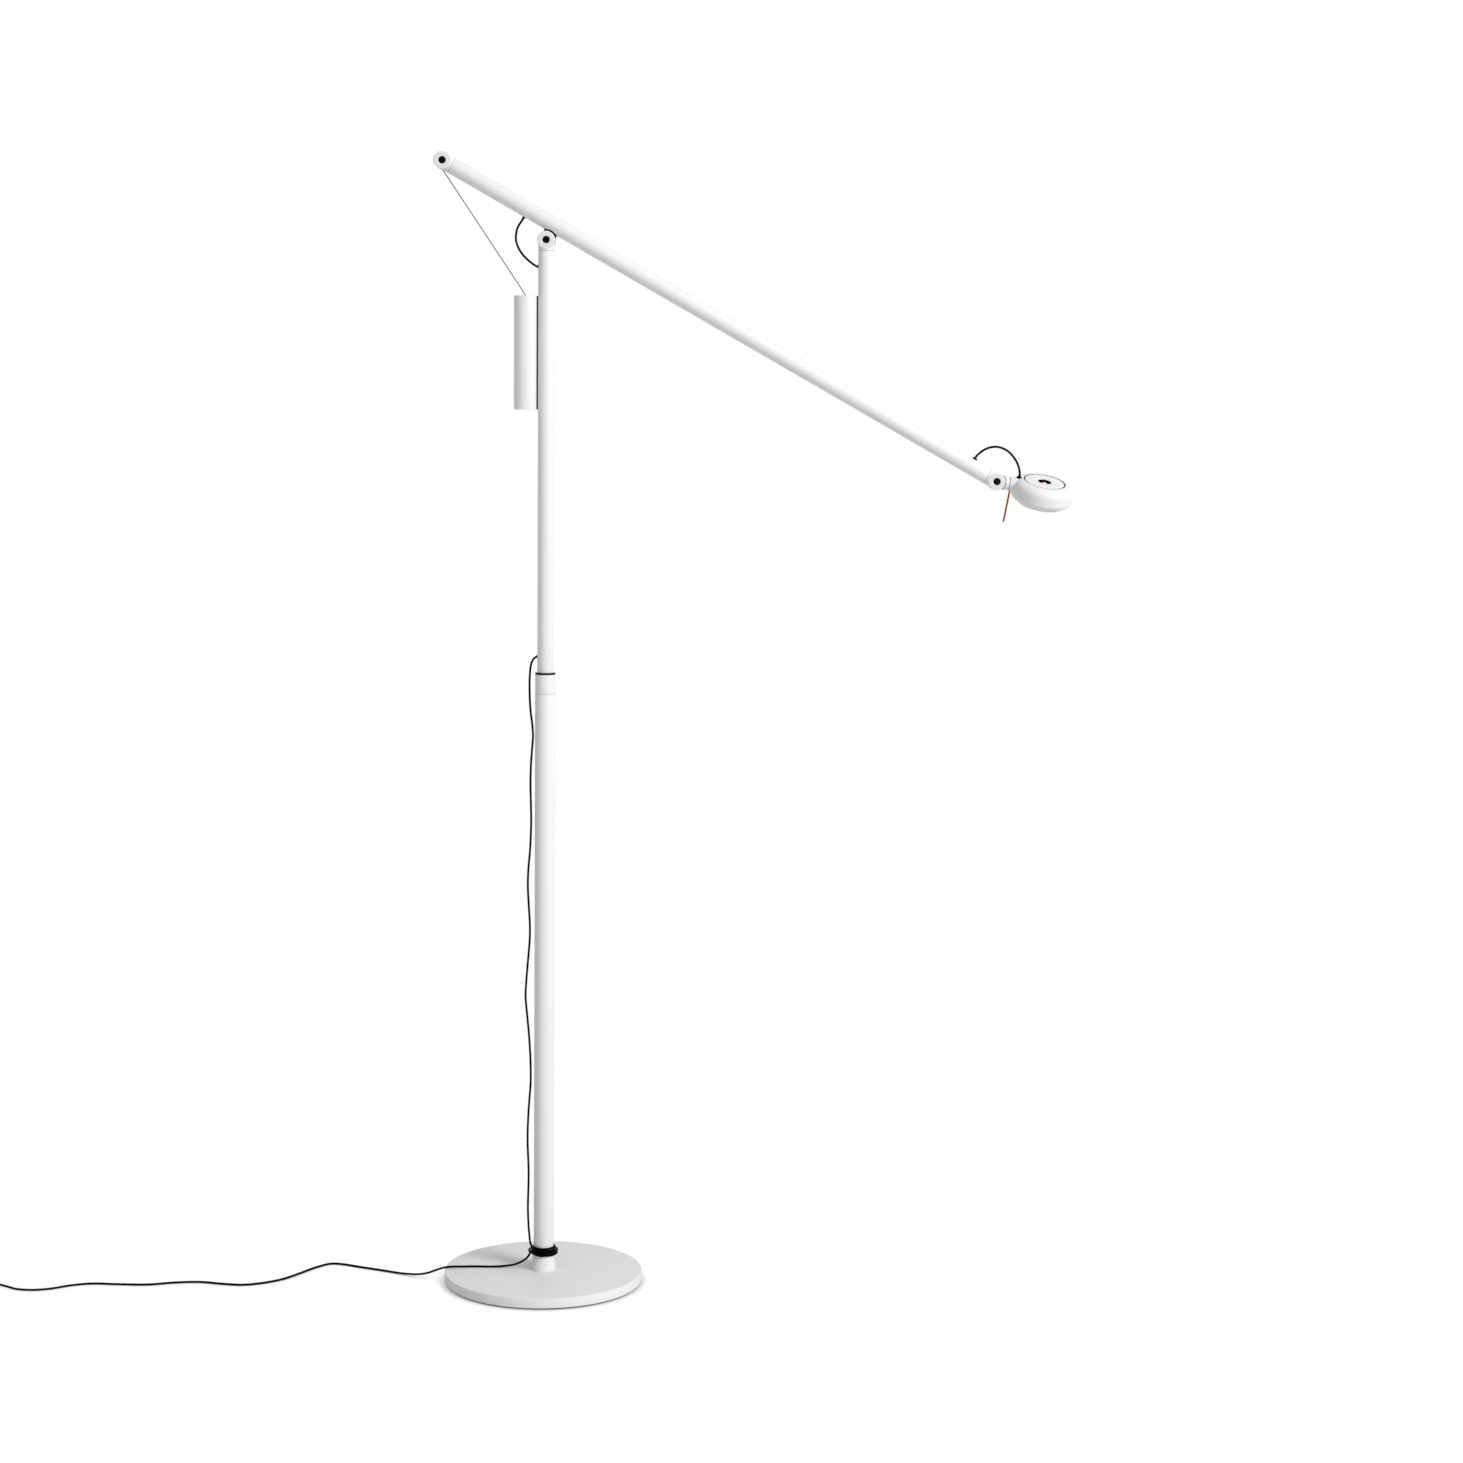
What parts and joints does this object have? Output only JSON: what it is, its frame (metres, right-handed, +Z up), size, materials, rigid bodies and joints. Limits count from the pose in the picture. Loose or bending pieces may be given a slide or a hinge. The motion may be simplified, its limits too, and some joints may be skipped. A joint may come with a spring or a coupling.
{
  "type": "adjustable arm floor lamp",
  "caption": "Floor lamp with a round base, a swivelling stem, a balanced arm with a sliding counterweight on a wire, and a small round LED head that tilts and rolls.",
  "frame": {"origin": "centre of the base's underside, on the floor", "axes": "+Z up along the stem, +X toward the lamp head, +Y across the arm, away from the viewer; the arm lies in the X-Z plane"},
  "size_m": [1.388, 0.3212, 1.4139],
  "materials": {
    "white_paint_steel": "satin",
    "white_paint_aluminium": "satin",
    "bare_steel": "satin",
    "black_steel": "matt",
    "bare_aluminium": "satin",
    "bare_brass": "satin",
    "black_plastic": "matt",
    "black_rubber": "matt",
    "black_pad": "matt",
    "black_magnet": "matt",
    "black_cord": "satin",
    "pink_plastic": "satin",
    "circuit_board": "satin",
    "led_board": "satin",
    "white_plastic": "gloss",
    "frosted_acrylic": "matt",
    "orange_paint": "satin",
    "steel_wire": "satin"
  },
  "bodies": {
    "stand": {"base_pad": "black_pad", "base_plate": "white_paint_steel", "base_bolt": "bare_steel", "base_boss": "white_paint_aluminium", "foot_plug": "bare_steel", "lower_tube": "white_paint_steel", "stem_collar": "white_paint_aluminium", "swivel_bush": "black_plastic", "cord_hanging": "black_cord", "cord_wraps": "black_cord", "cord_floor": "black_cord", "cord_coil": "black_cord", "cord_tail": "black_cord", "adapter_body": "black_plastic", "adapter_plug": "bare_brass", "adapter_relief": "black_rubber"},
    "upper_stem": {"stem_spindle": "bare_steel", "spindle_clip": "bare_steel", "upper_tube": "white_paint_steel", "cord_gland": "black_rubber", "stem_lead_grommet": "black_rubber", "stem_inner_lead": "black_cord", "stem_knuckle": "white_paint_aluminium", "pivot_screw": "black_steel", "pivot_nut": "black_steel", "pivot_lead": "black_cord"},
    "arm": {"arm_tube": "white_paint_aluminium", "arm_lug": "black_steel", "lug_screw": "bare_steel", "tail_grommet": "black_rubber", "arm_grommet": "black_rubber", "arm_inner_lead": "black_cord", "tail_knuckle": "white_paint_aluminium", "head_knuckle": "white_paint_aluminium", "tail_hinge_screw": "black_steel", "tail_hinge_nut": "black_steel", "head_hinge_screw": "black_steel", "head_hinge_nut": "black_steel", "head_lead": "black_cord"},
    "wire": {"wire_roller": "black_plastic", "steel_wire": "steel_wire"},
    "counterweight": {"weight_body": "white_paint_steel", "magnet_strip": "black_magnet", "wire_anchor": "bare_steel"},
    "neck": {"neck_knuckle": "white_paint_aluminium", "swivel_screw": "bare_steel"},
    "head": {"head_housing": "white_paint_aluminium", "head_cover": "white_paint_aluminium", "switch_cup": "black_plastic", "dimmer_board": "circuit_board", "heat_spreader": "bare_aluminium", "spreader_screw_1": "bare_steel", "spreader_screw_2": "bare_steel", "led_board": "led_board", "reflector": "white_plastic", "diffuser": "frosted_acrylic", "lens_ring": "white_paint_aluminium", "handle_pin": "orange_paint", "head_grommet": "black_rubber"},
    "dimmer": {"dimmer_button": "pink_plastic"}
  },
  "joints": [
    {"name": "stem_swivel", "type": "hinge", "parent": "stand", "child": "upper_stem", "pos_m": [0, 0, 0.7768], "axis": [0, 0, 1], "range_deg": [-160, 160], "deforming": ["cord_hanging"]},
    {"name": "arm_tilt", "type": "hinge", "parent": "upper_stem", "child": "arm", "pos_m": [0, 0, 1.3086], "axis": [0, -1, 0], "range_deg": [-20, 30], "deforming": ["pivot_lead", "steel_wire"]},
    {"name": "weight_slide", "type": "slide", "parent": "upper_stem", "child": "counterweight", "axis": [0, 0, 1], "range_m": [-0.041, 0.028], "deforming": ["steel_wire"]},
    {"name": "wire_swing", "type": "hinge", "parent": "arm", "child": "wire", "pos_m": [-0.12693, 0, 1.40322], "axis": [0, -1, 0], "range_deg": [-15, 10], "deforming": ["steel_wire"]},
    {"name": "head_tilt", "type": "hinge", "parent": "arm", "child": "neck", "pos_m": [0.55633, 0, 1.01979], "axis": [0, -1, 0], "range_deg": [-85, 50], "deforming": ["head_lead"]},
    {"name": "head_roll", "type": "hinge", "parent": "neck", "child": "head", "pos_m": [0.55633, 0, 1.01979], "axis": [0.9885, 0, -0.1513], "range_deg": [-107, 73], "deforming": ["head_lead"]},
    {"name": "dimmer_press", "type": "slide", "parent": "head", "child": "dimmer", "axis": [-0.1443, 0.3007, -0.9427], "range_m": [0, 0.0008], "stiffness_N_per_m": 800, "springref_m": -0.001}
  ],
  "couplings": [
    {"joint": "weight_slide", "follows": "arm_tilt", "m_per_rad": -0.0758},
    {"joint": "wire_swing", "follows": "arm_tilt", "ratio": -0.478}
  ]
}
